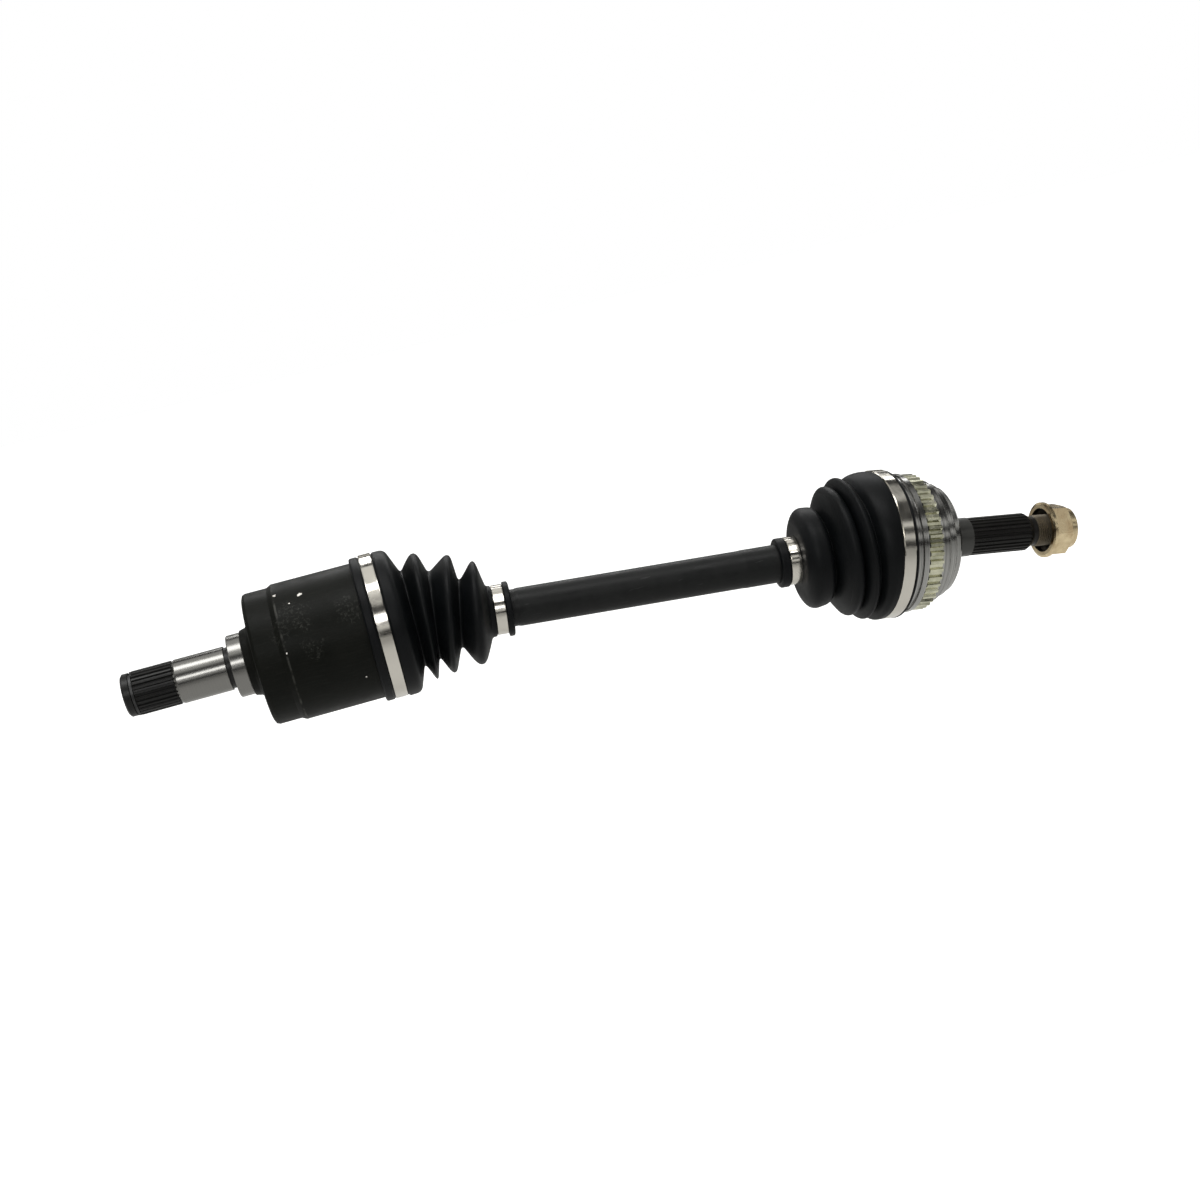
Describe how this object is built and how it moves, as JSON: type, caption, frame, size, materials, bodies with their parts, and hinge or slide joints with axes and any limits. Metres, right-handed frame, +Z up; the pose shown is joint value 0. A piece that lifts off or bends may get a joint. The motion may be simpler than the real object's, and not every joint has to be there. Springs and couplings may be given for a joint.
{
  "type": "drive shaft with constant velocity joints",
  "caption": "Drive shaft with a plunging tripod joint and a fixed ball joint, rubber boots, clamps, tone ring and hub nut.",
  "frame": {"origin": "centre of the ground journal on the inner stub", "axes": "+X along the inner stub towards the wheel, +Z up; the bar and the outer stub rest slightly articulated"},
  "size_m": [0.646, 0.1205, 0.1305],
  "materials": {
    "inner_housing": "black paint on the can, ground steel journal",
    "spring_steel": "oiled spring steel",
    "forged_steel": "ground forging",
    "axle_shaft": "slightly rough black paint",
    "bearing_steel": "ground bearing steel",
    "cage_steel": "hardened steel",
    "outer_race": "turned steel bell with a black oxide spline",
    "tone_ring": "pale yellow zinc plate",
    "spindle_nut": "yellow zinc plate",
    "boot_rubber": "matte black moulded rubber",
    "clamp_steel": "bright stainless band"
  },
  "bodies": {
    "inner_housing": {"inner_housing": "inner_housing", "inner_stub_circlip": "spring_steel", "inner_boot_large_clamp": "clamp_steel"},
    "inner_boot": {"inner_boot": "boot_rubber"},
    "axle_shaft": {"axle_shaft": "axle_shaft", "tripod_spider": "forged_steel", "spider_snap_ring": "spring_steel", "trunnion_washers": "spring_steel", "trunnion_snap_rings": "spring_steel", "trunnion_1_needles": "bearing_steel", "trunnion_2_needles": "bearing_steel", "trunnion_3_needles": "bearing_steel", "inner_race": "bearing_steel", "inner_race_circlip": "spring_steel", "inner_boot_small_clamp": "clamp_steel", "outer_boot_small_clamp": "clamp_steel"},
    "tripod_roller_1": {"tripod_roller_1": "bearing_steel"},
    "tripod_roller_2": {"tripod_roller_2": "bearing_steel"},
    "tripod_roller_3": {"tripod_roller_3": "bearing_steel"},
    "ball_cage": {"ball_cage": "cage_steel", "bearing_balls": "bearing_steel", "outer_boot": "boot_rubber"},
    "outer_race": {"outer_race": "outer_race", "abs_tone_ring": "tone_ring", "spindle_nut": "spindle_nut", "outer_boot_large_clamp": "clamp_steel"}
  },
  "joints": [
    {"name": "inner_plunge", "type": "slide", "parent": "inner_housing", "child": "inner_boot", "axis": [1, 0, 0], "range_m": [-0.018, 0.01], "deforming": ["inner_boot"]},
    {"name": "inner_tilt", "type": "hinge", "parent": "inner_boot", "child": "axle_shaft", "pos_m": [0.0958, 0, 0], "axis": [0, 0.8462, -0.5329], "range_deg": [-26.1, 13.9], "deforming": ["inner_boot"]},
    {"name": "roller_1_spin", "type": "hinge", "parent": "axle_shaft", "child": "tripod_roller_1", "pos_m": [0.0958, 0, 0], "axis": [0, 0.8462, -0.5329], "continuous": true},
    {"name": "roller_2_spin", "type": "hinge", "parent": "axle_shaft", "child": "tripod_roller_2", "pos_m": [0.0958, 0, 0], "axis": [0.092, 0.0358, 0.9951], "continuous": true},
    {"name": "roller_3_spin", "type": "hinge", "parent": "axle_shaft", "child": "tripod_roller_3", "pos_m": [0.0958, 0, 0], "axis": [-0.092, -0.882, -0.4622], "continuous": true},
    {"name": "cage_swing", "type": "hinge", "parent": "axle_shaft", "child": "ball_cage", "pos_m": [0.46669, -0.02112, -0.03354], "axis": [0.1043, 0.6829, 0.7231], "range_deg": [-24.95, 17.05], "deforming": ["outer_boot"]},
    {"name": "outer_race_swing", "type": "hinge", "parent": "ball_cage", "child": "outer_race", "pos_m": [0.46669, -0.02112, -0.03354], "axis": [0.1043, 0.6829, 0.7231], "range_deg": [-25.45, 17.55], "deforming": ["outer_boot"]}
  ],
  "couplings": [
    {"joint": "outer_race_swing", "follows": "cage_swing", "ratio": 1}
  ]
}
